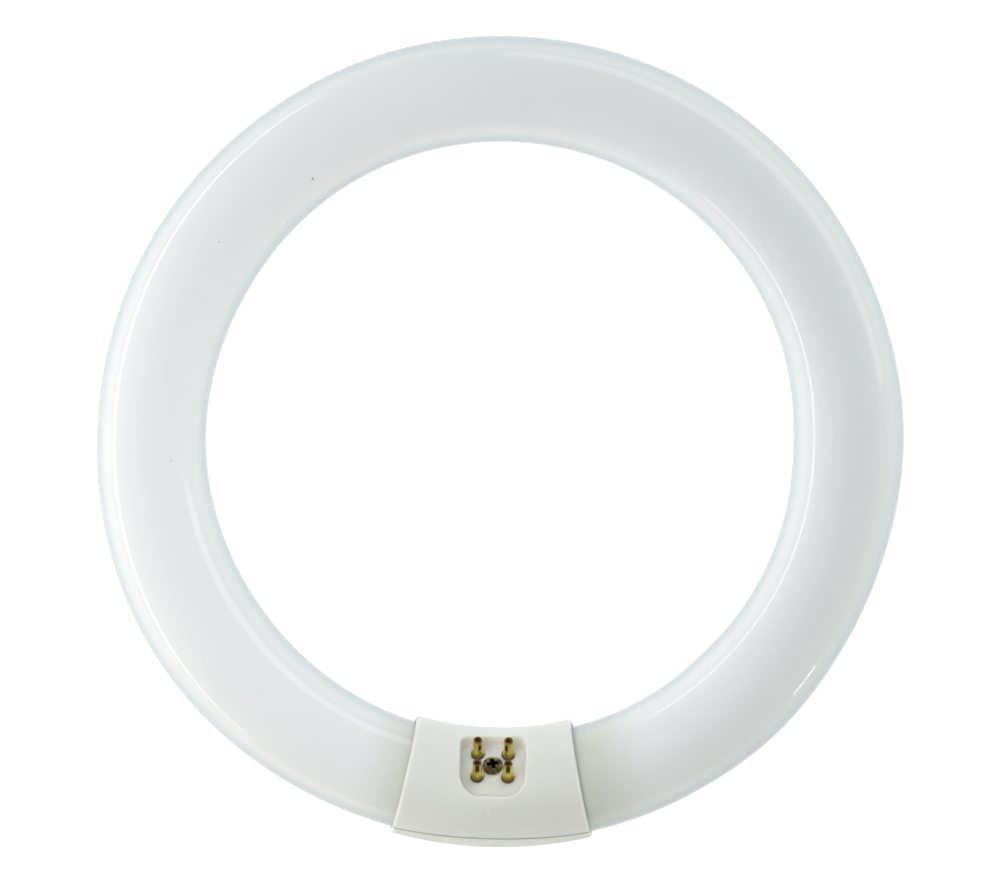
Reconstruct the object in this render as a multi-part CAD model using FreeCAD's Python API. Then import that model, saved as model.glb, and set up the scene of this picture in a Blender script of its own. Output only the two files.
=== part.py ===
import FreeCAD, Part
import math
import os

# A circular fluorescent lamp lying flat, pins up. The glass ring is closed by a plastic cap made of two
# shells, which a screw clamps over the two sealed ends of the tube. Four hollow pins stand in a recess.
# Millimetres. +Z is the ring's axis, the cap is at -Y, and the origin is the middle of the ring on the
# plane that the lamp lies on.

# Glass tube
RING_R = 92.0            # middle of the ring to the centreline of the tube
TUBE_D = 28.7            # outside diameter of the tube
END_ROUND = 5.0          # rounding where the glass turns in at each sealed end
FLARE_MOUTH_D = 14.0     # funnel of the glass stem, where it meets the end of the tube
FLARE_BASE_D = 9.0       # the same funnel at its floor, where the wires come out of the glass
FLARE_DEPTH = 11.0
EXHAUST_D = 4.0          # sealed-off exhaust tube in the middle of the funnel
EXHAUST_SHORT = 1.5      # its tip stops this far inside the mouth
END_CLEAR = 2.6          # gap between the recess walls in the cap and the end of the glass

# Cap: gaps and walls on the far side and on the near side of the ring's middle
GAP_OUT = 0.15
GAP_IN = 0.6
WALL_OUT = 1.0
WALL_IN = 1.0
CAP_LENGTH = 48.2        # along X, at the middle of the cap's section
END_LEAN = 11.76         # degrees that each end plane leans from the YZ plane
END_RAKE = 3.0           # degrees that each end plane leans inwards on its way up
END_EDGE_R = 0.9         # rounding of the outer edge at each end

# Direction of the screw and the pins, which is square to the joint between the shells
PIN_TILT = 37.0          # degrees from +Z towards the middle of the ring

# Recess: it is laid out around the pins, and measured at its floor
RECESS_DEPTH = 5.37      # below the top of the cap, along the screw
RECESS_SIDE = 2.45       # pin collar to side wall
RECESS_IN = 1.1          # pin collar to the wall nearest the middle of the ring
RECESS_OUT = 4.4         # pin collar to the opposite wall
RECESS_DRAFT = 4.0       # degrees
CORNER_IN_R = 2.4
CORNER_OUT_R = 4.6
FLOOR_EDGE_R = 1.2
RIM_R = 0.5              # rounding of the rim, where the recess opens in the cap's surface
RECESS_WALL = 1.4
FLOOR_T = 1.6

# Contact pins
PITCH_X = 8.0
PITCH_U = 6.9
PIN_D = 2.4
PIN_LENGTH = 7.35        # above the floor of the recess
PIN_BORE_D = 1.3
PIN_TIP_R = 0.45
COLLAR_D = 3.5
COLLAR_T = 1.0
SHANK_D = 2.6            # where the pin passes through the floor
SWAGE_D = 3.4            # tail of the pin, spread out under the floor
SWAGE_T = 0.5
HOLE_PLAY = 0.05         # radial, round each pin in its hole and round the screw in its pilot hole
CRIMP_IN_RISE = 4.8      # crimp marks of the row nearest the ring's middle: their middle above the floor
CRIMP_IN_LENGTH = 2.7
CRIMP_IN_WIDTH = 0.56
CRIMP_IN_TURN = 32.0     # degrees that they are turned towards the screw
CRIMP_OUT_RISE = 5.7     # crimp marks of the other row
CRIMP_OUT_LENGTH = 1.8
CRIMP_OUT_WIDTH = 0.85

# Lead wires
WIRE_D = 0.6
WIRE_BEND_R = 2.5
WIRE_SHORT = 1.2         # the wire ends this far below the tip of its pin

# Clamp screw
SCREW_D = 2.9
SCREW_LENGTH = 18.0      # below the head
SCREW_POINT = 2.0
HEAD_D = 5.3
HEAD_H = 1.5
HEAD_EDGE_R = 1.25
CROSS_SPAN = 3.1
CROSS_WIDTH = 0.8
CROSS_DEPTH = 1.0
CROSS_TURN = 12.0        # degrees
BOSS_WALL = 1.4
SLEEVE_PLAY = 0.2        # radial, round the screw in the front shell
HOLE_SPARE = 1.0         # pilot hole below the screw's point
WEB_T = 1.0              # webs that brace the boss
WEB_SPAN = 15.0
WEB_H = 9.0              # above the bottom of the cap

V = FreeCAD.Vector
X_AXIS = V(1, 0, 0)
Z_AXIS = V(0, 0, 1)

tube_r = TUBE_D / 2
bore_r = tube_r + (GAP_OUT + GAP_IN) / 2
bore_centre = RING_R + (GAP_OUT - GAP_IN) / 2
cap_r = bore_r + (WALL_OUT + WALL_IN) / 2
cap_centre = bore_centre + (WALL_OUT - WALL_IN) / 2
mid_z = cap_r                                    # the cap touches the ground

# The cap's own frame: X as in the part, Y (called u) along the joint towards the middle of the ring,
# Z (called v) along the screw, origin at the middle of the cap's section
CAP_FRAME = FreeCAD.Placement(V(0, -cap_centre, mid_z), FreeCAD.Rotation(X_AXIS, -PIN_TILT))
REACH = 4 * cap_r                                # longer than the cap in every direction

floor_v = cap_r - RECESS_DEPTH
draft = math.tan(math.radians(RECESS_DRAFT))
recess_half_x = PITCH_X / 2 + COLLAR_D / 2 + RECESS_SIDE
recess_in_u = PITCH_U / 2 + COLLAR_D / 2 + RECESS_IN
recess_out_u = PITCH_U / 2 + COLLAR_D / 2 + RECESS_OUT
sleeve_r = SCREW_D / 2 + SLEEVE_PLAY + BOSS_WALL

# Each end of the tube stops clear of the recess walls. The arc of the ring ends where the glass
# starts to turn in, and the turned-in end goes on straight from there.
end_face_x = recess_half_x + RECESS_WALL + END_CLEAR
arc_end = math.asin(end_face_x / math.hypot(RING_R, END_ROUND)) + math.atan(END_ROUND / RING_R)


def in_cap_frame(shape):
    placed = shape.copy()
    placed.Placement = CAP_FRAME.multiply(placed.Placement)
    return placed


def cap_point(x, u, v):
    return CAP_FRAME.multVec(V(x, u, v))


def ring_section(centre, radius):
    """A full ring of round section about the lamp's axis."""
    return Part.makeTorus(centre, radius, V(0, 0, mid_z), Z_AXIS)


def profile_solid(points):
    """Turns a closed outline of (radius, height) points about the Z axis."""
    corners = [V(r, 0, z) for r, z in points]
    outline = Part.makePolygon(corners + [corners[0]])
    return Part.Face(outline).revolve(V(0, 0, 0), Z_AXIS, 360).Solids[0]


def glass_end():
    """The right-hand sealed end: what is added to the arc, and the funnel that is cut out of it."""
    face_r = tube_r - END_ROUND
    turn_in = Part.Arc(
        V(tube_r, 0, 0),
        V(face_r + END_ROUND * math.sqrt(0.5), 0, END_ROUND * math.sqrt(0.5)),
        V(face_r, 0, END_ROUND),
    ).toShape()
    edges = [
        Part.makeLine(V(0, 0, 0), V(tube_r, 0, 0)),
        turn_in,
        Part.makeLine(V(face_r, 0, END_ROUND), V(0, 0, END_ROUND)),
        Part.makeLine(V(0, 0, END_ROUND), V(0, 0, 0)),
    ]
    dome = Part.Face(Part.Wire(edges)).revolve(V(0, 0, 0), Z_AXIS, 360).Solids[0]

    base_z = END_ROUND - FLARE_DEPTH
    funnel = Part.makeCone(FLARE_BASE_D / 2, FLARE_MOUTH_D / 2, FLARE_DEPTH, V(0, 0, base_z), Z_AXIS)
    tip_z = END_ROUND - EXHAUST_SHORT
    exhaust_r = EXHAUST_D / 2
    stub = Part.makeCylinder(exhaust_r, tip_z - exhaust_r - base_z, V(0, 0, base_z), Z_AXIS)
    stub = stub.fuse(Part.makeSphere(exhaust_r, V(0, 0, tip_z - exhaust_r)))
    return dome, funnel.cut(stub)


def end_frame():
    """Where the right-hand arc of glass ends, with Z pointing out of the glass."""
    at = V(RING_R * math.sin(arc_end), -RING_R * math.cos(arc_end), mid_z)
    outwards = V(-math.cos(arc_end), -math.sin(arc_end), 0)
    return FreeCAD.Placement(at, FreeCAD.Rotation(Z_AXIS, outwards))


def make_glass():
    start = math.degrees(arc_end) - 90
    section = Part.Face(Part.Wire(Part.makeCircle(tube_r, V(RING_R, 0, mid_z), V(0, 1, 0))))
    section.rotate(V(0, 0, 0), Z_AXIS, start)
    glass = section.revolve(V(0, 0, 0), Z_AXIS, 360 - 2 * math.degrees(arc_end)).Solids[0]
    dome, funnel = glass_end()
    for shape in (dome, funnel):
        shape.Placement = end_frame().multiply(shape.Placement)
    domes = [dome, dome.mirror(V(0, 0, 0), X_AXIS)]
    funnels = [funnel, funnel.mirror(V(0, 0, 0), X_AXIS)]
    return glass.fuse(domes).removeSplitter().cut(funnels)


def cap_body():
    """The cap as one filled length of ring between its two leaning ends, with their edges rounded."""
    lean, rake = (math.tan(math.radians(angle)) for angle in (END_LEAN, END_RAKE))
    body = ring_section(cap_centre, cap_r)
    for side in (-1, 1):
        keeper = Part.makeBox(REACH, REACH, REACH, V(-REACH, -REACH / 2, -REACH / 2))
        outwards = FreeCAD.Rotation(X_AXIS, V(side, lean, rake))
        keeper.Placement = FreeCAD.Placement(V(side * CAP_LENGTH / 2, -cap_centre, mid_z), outwards)
        body = body.common(keeper).Solids[0]
    ends = [face for face in body.Faces if isinstance(face.Surface, Part.Plane)]
    return body.makeFillet(END_EDGE_R, [edge for face in ends for edge in face.Edges])


def rounded_outline(grow, height):
    """The recess in plan, grown outwards by grow, as a wire at the given height."""
    left, right = -recess_half_x - grow, recess_half_x + grow
    low, high = -recess_out_u - grow, recess_in_u + grow
    corners = [
        (left, low, CORNER_OUT_R + grow, 180),
        (right, low, CORNER_OUT_R + grow, 270),
        (right, high, CORNER_IN_R + grow, 0),
        (left, high, CORNER_IN_R + grow, 90),
    ]
    arcs = []
    for x, u, radius, angle in corners:
        centre = V(x - math.copysign(radius, x), u - math.copysign(radius, u), height)
        arcs.append(Part.makeCircle(radius, centre, Z_AXIS, angle, angle + 90))
    edges = []
    for arc, following in zip(arcs, arcs[1:] + arcs[:1]):
        edges += [arc, Part.makeLine(arc.Vertexes[-1].Point, following.Vertexes[0].Point)]
    return Part.Wire(edges)


def drafted_block(grow, bottom_v, edge_r):
    """The recess as a solid block that widens upwards, with its bottom edge rounded."""
    top_v = cap_r + RECESS_DEPTH
    widening = (top_v - bottom_v) * draft
    wires = [rounded_outline(grow, bottom_v), rounded_outline(grow + widening, top_v)]
    block = Part.makeLoft(wires, True, True)
    rim = [edge for edge in block.Edges if edge.BoundBox.ZMax < bottom_v + edge_r]
    return block.makeFillet(edge_r, rim)


def round_rim(shell):
    """Rounds the edge that the recess leaves in the outside of the front shell, its largest face."""
    outside = max(shell.Faces, key=lambda face: face.Area)
    inner_wires = [wire for wire in outside.Wires if not wire.isSame(outside.OuterWire)]
    return shell.makeFillet(RIM_R, [edge for wire in inner_wires for edge in wire.Edges])


def pin_places():
    """Name and place in the cap's frame of each contact pin."""
    rows = (("inner", PITCH_U / 2), ("outer", -PITCH_U / 2))
    sides = (("left", -PITCH_X / 2), ("right", PITCH_X / 2))
    return [(f"{row}_{side}", x, u) for row, u in rows for side, x in sides]


def make_shells():
    """The cap's body less its bore. What stands inside each shell is kept out of the bore first."""
    body = cap_body()
    bore = ring_section(bore_centre, bore_r)

    block = drafted_block(RECESS_WALL, floor_v - FLOOR_T, FLOOR_EDGE_R)
    sleeve = Part.makeCylinder(sleeve_r, floor_v - FLOOR_T / 2)
    front_half = Part.makeBox(REACH, REACH, REACH, V(-REACH / 2, -REACH / 2, 0))
    front = body.cut(bore.cut([in_cap_frame(block), in_cap_frame(sleeve)]))
    front = front.common(in_cap_frame(front_half))
    front = round_rim(front.cut(in_cap_frame(drafted_block(0, floor_v, FLOOR_EDGE_R))))
    holes = [Part.makeCylinder(SCREW_D / 2 + SLEEVE_PLAY, REACH)]
    for _, x, u in pin_places():
        holes.append(Part.makeCylinder(SHANK_D / 2 + HOLE_PLAY, REACH, V(x, u, floor_v - REACH / 2)))
    front = front.cut([in_cap_frame(hole) for hole in holes])

    boss = Part.makeCylinder(sleeve_r, cap_r, V(0, 0, -cap_r))
    web = Part.makeBox(WEB_SPAN, WEB_T, WEB_H, V(-WEB_SPAN / 2, -WEB_T / 2, -cap_r))
    back_half = Part.makeBox(REACH, REACH, REACH, V(-REACH / 2, -REACH / 2, -REACH))
    back = body.cut(bore.cut([in_cap_frame(boss), in_cap_frame(web)]))
    back = back.common(in_cap_frame(back_half))
    pilot_depth = SCREW_LENGTH - floor_v + HOLE_SPARE
    pilot = Part.makeCylinder(SCREW_D / 2 + HOLE_PLAY, 2 * pilot_depth, V(0, 0, -pilot_depth))
    return front, back.cut(in_cap_frame(pilot))


def crimp_mark(rise, length, width, turn):
    """A slot with round ends through one wall of a pin, on its far side before it is turned."""
    half = (length - width) / 2
    ends = [V(0, 0, rise + side * half) for side in (-1, 1)]
    slot = Part.makeBox(width, PIN_D, 2 * half, V(-width / 2, -PIN_D, rise - half))
    slot = slot.fuse([Part.makeCylinder(width / 2, PIN_D, end, V(0, -1, 0)) for end in ends])
    slot.rotate(V(0, 0, 0), Z_AXIS, turn)
    return slot


def make_pin(x, u):
    """A hollow pin, with its collar on the floor of the recess and its tail spread under the floor."""
    tail_z = -FLOOR_T
    outline = [
        (0, tail_z - SWAGE_T),
        (SWAGE_D / 2, tail_z - SWAGE_T),
        (SWAGE_D / 2, tail_z),
        (SHANK_D / 2, tail_z),
        (SHANK_D / 2, 0),
        (COLLAR_D / 2, 0),
        (COLLAR_D / 2, COLLAR_T),
        (PIN_D / 2, COLLAR_T),
        (PIN_D / 2, PIN_LENGTH),
        (0, PIN_LENGTH),
    ]
    pin = profile_solid(outline)
    tip = [edge for edge in pin.Edges if edge.BoundBox.ZMin > PIN_LENGTH - PIN_TIP_R and edge.Length > PIN_D]
    pin = pin.makeFillet(PIN_TIP_R, tip)
    bore = Part.makeCylinder(PIN_BORE_D / 2, REACH, V(0, 0, -REACH / 2))
    if u > 0:
        mark = crimp_mark(CRIMP_IN_RISE, CRIMP_IN_LENGTH, CRIMP_IN_WIDTH, math.copysign(CRIMP_IN_TURN, -x))
    else:
        mark = crimp_mark(CRIMP_OUT_RISE, CRIMP_OUT_LENGTH, CRIMP_OUT_WIDTH, 0)
    pin = pin.cut([bore, mark])
    pin.translate(V(x, u, floor_v))
    return in_cap_frame(pin)


def make_wire(x, u):
    """From the floor of the glass funnel, under the recess and up inside a pin."""
    frame = end_frame()
    offset = math.copysign((EXHAUST_D + FLARE_BASE_D) / 4, u)
    out_of_glass = frame.Rotation.multVec(Z_AXIS)
    along_u = CAP_FRAME.Rotation.multVec(V(0, 1, 0))
    sideways = (along_u - out_of_glass * along_u.dot(out_of_glass)).normalize()
    start = frame.Base + out_of_glass * (END_ROUND - FLARE_DEPTH) + sideways * offset
    mouth = start + out_of_glass * (FLARE_DEPTH + END_CLEAR / 2)
    if x < 0:
        start.x, mouth.x = -start.x, -mouth.x
    below = cap_point(x, u, 0)
    top = cap_point(x, u, floor_v + PIN_LENGTH - WIRE_SHORT)
    return swept_wire([start, mouth, below, top])


def swept_wire(points):
    """A round wire along straight runs, with an arc of one bend radius at each inner point."""
    edges = []
    here = points[0]
    for before, at, after in zip(points, points[1:], points[2:]):
        back, onwards = (before - at).normalize(), (after - at).normalize()
        half_angle = back.getAngle(onwards) / 2
        setback = WIRE_BEND_R / math.tan(half_angle)
        centre = at + (back + onwards).normalize() * (WIRE_BEND_R / math.sin(half_angle))
        arc_start, arc_end_point = at + back * setback, at + onwards * setback
        arc_middle = centre + (at - centre).normalize() * WIRE_BEND_R
        edges.append(Part.makeLine(here, arc_start))
        edges.append(Part.Arc(arc_start, arc_middle, arc_end_point).toShape())
        here = arc_end_point
    edges.append(Part.makeLine(here, points[-1]))
    first_run = (points[1] - points[0]).normalize()
    section = Part.Wire(Part.makeCircle(WIRE_D / 2, points[0], first_run))
    return Part.Wire(edges).makePipeShell([section], True, False)


def make_screw():
    """Pan head with a cross recess, plain shank and point. The thread is left to the finish."""
    tip_z = -SCREW_LENGTH
    outline = [
        (0, tip_z),
        (SCREW_D / 2, tip_z + SCREW_POINT),
        (SCREW_D / 2, 0),
        (HEAD_D / 2, 0),
        (HEAD_D / 2, HEAD_H),
        (0, HEAD_H),
    ]
    screw = profile_solid(outline)
    rim = [edge for edge in screw.Edges if edge.BoundBox.ZMin > HEAD_H - HEAD_EDGE_R and edge.Length > HEAD_D]
    screw = screw.makeFillet(HEAD_EDGE_R, rim)
    for turn in (CROSS_TURN, CROSS_TURN + 90):
        slot = Part.makeBox(
            CROSS_SPAN, CROSS_WIDTH, CROSS_DEPTH, V(-CROSS_SPAN / 2, -CROSS_WIDTH / 2, HEAD_H - CROSS_DEPTH)
        )
        slot.rotate(V(0, 0, 0), Z_AXIS, turn)
        screw = screw.cut(slot)
    screw.translate(V(0, 0, floor_v))
    return in_cap_frame(screw)


def main():
    nodes = {"glass_tube": make_glass()}
    nodes["front_cap_shell"], nodes["back_cap_shell"] = make_shells()
    nodes["clamp_screw"] = make_screw()
    for name, x, u in pin_places():
        nodes[f"contact_pin_{name}"] = make_pin(x, u)
        nodes[f"lead_wire_{name}"] = make_wire(x, u)
    os.makedirs("parts", exist_ok=True)
    for name, shape in nodes.items():
        box = shape.BoundBox
        shape.exportStep(f"parts/{name}.step")
        print(
            f"{name}: {len(shape.Solids)} solid, valid {shape.isValid()}, {shape.Volume:.1f} mm3, "
            f"x {box.XMin:.2f} {box.XMax:.2f}, y {box.YMin:.2f} {box.YMax:.2f}, z {box.ZMin:.2f} {box.ZMax:.2f}"
        )


main()
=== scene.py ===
# %% [markdown]
# # A circular fluorescent lamp
#
# The lamp is a ring of glass tube, white from the powder inside it. A moulded plastic cap closes the ring.
# The cap is two shells that one screw clamps together, and four hollow brass pins stand in its recess.
# The CAD model is loaded first as a fixed frame. Each piece made here takes the place of one of its solids.

# %% Load the frame
import math

import bmesh
import bpy
from mathutils import Matrix, Vector


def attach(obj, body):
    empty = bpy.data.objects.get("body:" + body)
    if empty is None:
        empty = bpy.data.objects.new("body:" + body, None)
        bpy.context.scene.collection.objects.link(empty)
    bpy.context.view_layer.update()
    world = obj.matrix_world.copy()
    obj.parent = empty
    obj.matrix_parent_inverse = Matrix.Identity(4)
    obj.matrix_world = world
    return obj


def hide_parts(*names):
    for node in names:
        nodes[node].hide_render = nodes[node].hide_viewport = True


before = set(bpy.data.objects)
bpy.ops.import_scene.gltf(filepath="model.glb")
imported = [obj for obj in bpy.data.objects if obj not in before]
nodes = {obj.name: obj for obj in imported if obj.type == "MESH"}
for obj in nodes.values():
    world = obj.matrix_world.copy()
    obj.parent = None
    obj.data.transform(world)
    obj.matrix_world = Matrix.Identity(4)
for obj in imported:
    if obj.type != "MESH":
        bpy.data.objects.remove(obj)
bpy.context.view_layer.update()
print("solids in the frame:", len(nodes))

# %% [markdown]
# ## Sizes
#
# Blender works in metres here. The sizes repeat those of the CAD model, so a piece made from them lands
# in its place without any fitting. The screw and the pins lean 37 degrees from upright towards the middle
# of the ring. A small frame of their own (across, along the joint, up the screw) makes them easy to place.

# %% Sizes and the cap's own frame
MM = 0.001
RING_R = 92.0 * MM
GLASS_R = 14.35 * MM
MID_Z = 15.725 * MM
END_ROUND = 5.0 * MM
GLASS_END_X = 12.2 * MM
ARC_END = math.asin(GLASS_END_X / math.hypot(RING_R, END_ROUND)) + math.atan(END_ROUND / RING_R)
CAP_CENTRE = 91.775 * MM
CAP_R = 15.725 * MM
FLOOR_V = 10.355 * MM
TILT = math.radians(37.0)

PIN_X = 4.0 * MM
PIN_U = 3.45 * MM

to_cap = Matrix.Translation((0, -CAP_CENTRE, MID_Z)) @ Matrix.Rotation(-TILT, 4, "X")
PIN_PLACES = {
    "inner_left": (-PIN_X, PIN_U),
    "inner_right": (PIN_X, PIN_U),
    "outer_left": (-PIN_X, -PIN_U),
    "outer_right": (PIN_X, -PIN_U),
}
print("glass ends", round(math.degrees(ARC_END), 2), "degrees each side of the cap's middle")

# %% [markdown]
# ## Camera
#
# The lamp was photographed from straight above, turned a little about the line of sight. Far pieces of the
# cap show no more of their sides than near ones, so the camera stood far off with a long lens. It is placed
# before anything else.

# %% Camera
ROLL = math.radians(1.36)
DISTANCE = 900.0 * MM
SENSOR_WIDTH = 36.0
PIXEL = 0.2634 * MM
PIXELS_ACROSS = 1000
OFF_MIDDLE = (-0.45 * PIXEL, -1.8 * PIXEL)

camera_data = bpy.data.cameras.new("camera")
camera_data.sensor_fit = "HORIZONTAL"
camera_data.sensor_width = SENSOR_WIDTH
camera_data.lens = SENSOR_WIDTH * DISTANCE / (PIXELS_ACROSS * PIXEL)
camera_data.clip_start = 0.01
camera_data.clip_end = 20.0
camera = bpy.data.objects.new("camera", camera_data)
turned = Matrix.Rotation(ROLL, 4, "Z")
camera.matrix_world = turned @ Matrix.Translation((*OFF_MIDDLE, MID_Z + DISTANCE))
bpy.context.scene.collection.objects.link(camera)
bpy.context.scene.camera = camera
print("lens", round(camera_data.lens, 1), "mm")

# %% [markdown]
# ## Helpers
#
# Most shapes here follow a rule, so they are made by Geometry Nodes: a small tree of named sizes that
# gives the same piece each time. A few helpers keep the trees short. They start a tree and name its inputs,
# write a sum as nodes, run the tree and keep the result as a plain mesh, and hand that mesh to the frame.

# %% Helpers for geometry trees
def new_tree(name, sizes):
    """Starts a tree with a geometry input and a number input for each name in sizes."""
    tree = bpy.data.node_groups.new(name, "GeometryNodeTree")
    tree.interface.new_socket("Geometry", in_out="INPUT", socket_type="NodeSocketGeometry")
    for size, value in sizes.items():
        kind = "NodeSocketInt" if isinstance(value, int) else "NodeSocketFloat"
        tree.interface.new_socket(size, in_out="INPUT", socket_type=kind).default_value = value
    tree.interface.new_socket("Material", in_out="INPUT", socket_type="NodeSocketMaterial")
    tree.interface.new_socket("Geometry", in_out="OUTPUT", socket_type="NodeSocketGeometry")
    return tree, tree.nodes.new("NodeGroupInput").outputs


def feed(tree, socket, value):
    """Gives a socket either a link or a fixed value."""
    if isinstance(value, bpy.types.NodeSocket):
        tree.links.new(value, socket)
    else:
        socket.default_value = value


def add(tree, kind, values=None, **settings):
    """Adds a node, makes its settings and feeds its inputs by name or number."""
    node = tree.nodes.new(kind)
    for key, value in settings.items():
        setattr(node, key, value)
    for key, value in (values or {}).items():
        feed(tree, node.inputs[key], value)
    return node


def calc(tree, operation, *values):
    """One step of arithmetic on numbers or sockets."""
    node = add(tree, "ShaderNodeMath", dict(enumerate(values)), operation=operation)
    return node.outputs[0]


def finish_tree(tree, geometry, material):
    """Ends a tree in real, smooth mesh with its material."""
    real = add(tree, "GeometryNodeRealizeInstances", {"Geometry": geometry})
    merged = add(tree, "GeometryNodeMergeByDistance", {"Geometry": real.outputs[0], "Distance": 1e-7})
    smooth = add(tree, "GeometryNodeSetShadeSmooth", {"Geometry": merged.outputs[0]})
    painted = add(tree, "GeometryNodeSetMaterial", {"Geometry": smooth.outputs[0], "Material": material})
    out = tree.nodes.new("NodeGroupOutput")
    tree.links.new(painted.outputs[0], out.inputs[0])


def run_tree(name, tree, sizes, material, start=None):
    """Runs a tree on a start mesh and returns the result as an object with a plain mesh."""
    source = bpy.data.objects.new(name + "_source", start or bpy.data.meshes.new(name + "_start"))
    bpy.context.scene.collection.objects.link(source)
    modifier = source.modifiers.new("rule", "NODES")
    modifier.node_group = tree
    values = dict(sizes, Material=material)
    for item in tree.interface.items_tree:
        if item.in_out == "INPUT" and item.name in values:
            modifier[item.identifier] = values[item.name]
    view = bpy.context.evaluated_depsgraph_get()
    mesh = bpy.data.meshes.new_from_object(source.evaluated_get(view))
    bpy.data.objects.remove(source)
    return new_piece(name, mesh)


def new_piece(name, mesh):
    """An object at the origin with its faces pointing outwards."""
    mesh.name = name
    shape = bmesh.new()
    shape.from_mesh(mesh)
    bmesh.ops.recalc_face_normals(shape, faces=shape.faces)
    if shape.calc_volume(signed=True) < 0:
        bmesh.ops.reverse_faces(shape, faces=shape.faces)
    open_edges = sum(1 for edge in shape.edges if not edge.is_manifold)
    shape.to_mesh(mesh)
    triangles = sum(len(face.verts) - 2 for face in shape.faces)
    shape.free()
    piece = bpy.data.objects.new(name, mesh)
    bpy.context.scene.collection.objects.link(piece)
    print(f"{name}: {triangles} triangles, {open_edges} open edges")
    return piece


def stand_in_for(piece, slot, *solids):
    """The piece rides with the object and takes the place of these solids."""
    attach(piece, "root")
    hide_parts(*solids)


# %% [markdown]
# ## Helpers for the finishes
#
# Every finish is worked out from where a point lies on the object, so it needs no pictures. The steps that
# come back in each get a short name: a random cloud, a value brought from one range to another, two colours
# mixed, a fine relief, and sums on vectors.

# %% Helpers for finishes
def new_material(name):
    """A material with its shader and its coordinates on the object."""
    material = bpy.data.materials.new(name)
    material.use_nodes = True
    tree = material.node_tree
    shader = tree.nodes["Principled BSDF"]
    place = tree.nodes.new("ShaderNodeTexCoord").outputs["Object"]
    return material, tree, shader, place


def dress(tree, shader, values):
    """Gives the shader's sockets, by name, either links or fixed values."""
    for name, value in values.items():
        feed(tree, shader.inputs[name], value)


def vector_calc(tree, operation, *values):
    """One step of arithmetic on vectors: gives a Vector and a Value."""
    return add(tree, "ShaderNodeVectorMath", dict(enumerate(values)), operation=operation).outputs


def scaled(tree, vector, factor):
    """A vector or a colour times a number."""
    return add(tree, "ShaderNodeVectorMath", {0: vector, "Scale": factor}, operation="SCALE").outputs[0]


def split(tree, vector):
    """The three parts of a vector."""
    return add(tree, "ShaderNodeSeparateXYZ", {0: vector}).outputs


def ramp(tree, value, start, end, low=0.0, high=1.0, kind="LINEAR"):
    """Goes from low, at start, to high, at end, and stays level beyond them."""
    values = {"Value": value, "From Min": start, "From Max": end, "To Min": low, "To Max": high}
    return add(tree, "ShaderNodeMapRange", values, interpolation_type=kind).outputs[0]


def soft_ramp(tree, value, start, end, low=0.0, high=1.0):
    """A ramp that starts and ends gently."""
    return ramp(tree, value, start, end, low, high, "SMOOTHSTEP")


def noise(tree, place, scale, detail, roughness=0.5):
    """A random cloud from 0 to 1. A larger scale makes it finer."""
    values = {"Vector": place, "Scale": scale, "Detail": detail, "Roughness": roughness}
    return add(tree, "ShaderNodeTexNoise", values).outputs[0]


def mix(tree, factor, first, second):
    """Mixes two colours, each a socket or (red, green, blue, 1)."""
    node = tree.nodes.new("ShaderNodeMix")
    node.data_type = "RGBA"
    feed(tree, node.inputs[0], factor)
    feed(tree, node.inputs[6], first)
    feed(tree, node.inputs[7], second)
    return node.outputs[2]


def relief(tree, height, strength, depth):
    """A fine relief of this depth in metres, for one of the shader's normals."""
    return add(tree, "ShaderNodeBump", {"Height": height, "Strength": strength, "Distance": depth}).outputs[0]


# %% [markdown]
# ## Floor and light
#
# The photograph has a plain white ground with no shadow on it, and soft light from every side, a little
# stronger from the left. A pale floor that glows gives the clean ground. It glows more further out, so it
# stays white in low views too. A long low window on the left draws the two bright lines along the glass, a
# broader one at the back draws the pale band on the right, and two small ones draw short glints. Three cards
# only fill: gloss doesn't mirror them. The sky is brighter at the back and at both sides than in front.

# %% Floor
FLOOR_HALF = 12.0
# Each: how far from the middle in metres, and how strongly the floor glows there.
GLOW_NEAR = 0.25, 0.705
GLOW_FAR = 1.1, 1.05

floor_paper, tree, shader, place = new_material("floor_paper")
from_middle = vector_calc(tree, "LENGTH", place)["Value"]
dress(tree, shader, {
    "Base Color": (0.5, 0.5, 0.5, 1),
    "Roughness": 0.9,
    "Specular IOR Level": 0.1,
    "Normal": relief(tree, noise(tree, place, 400.0, 3.0), 0.05, 0.0002),
    "Emission Color": (1.0, 1.0, 1.0, 1),
    "Emission Strength": soft_ramp(tree, from_middle, GLOW_NEAR[0], GLOW_FAR[0], GLOW_NEAR[1], GLOW_FAR[1]),
})

floor_mesh = bpy.data.meshes.new("floor")
corners = [(x * FLOOR_HALF, y * FLOOR_HALF, 0) for x, y in ((-1, -1), (1, -1), (1, 1), (-1, 1))]
floor_mesh.from_pydata(corners, [], [(0, 1, 2, 3)])
floor_mesh.materials.append(floor_paper)
floor = bpy.data.objects.new("floor", floor_mesh)
bpy.context.scene.collection.objects.link(floor)

# %% Lights
def soft_window(name, at, aim, size, power, colour, mirrored=True):
    """A flat rectangular light, turned to face a point. Gloss shows it only if it is mirrored."""
    data = bpy.data.lights.new(name, "AREA")
    data.shape = "RECTANGLE"
    data.size, data.size_y = size
    data.energy = power
    data.color = colour
    lamp = bpy.data.objects.new(name, data)
    lamp.location = at
    lamp.visible_glossy = mirrored
    lamp.visible_camera = False
    lamp.rotation_euler = (Vector(aim) - Vector(at)).to_track_quat("-Z", "Y").to_euler()
    bpy.context.scene.collection.objects.link(lamp)


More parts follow.
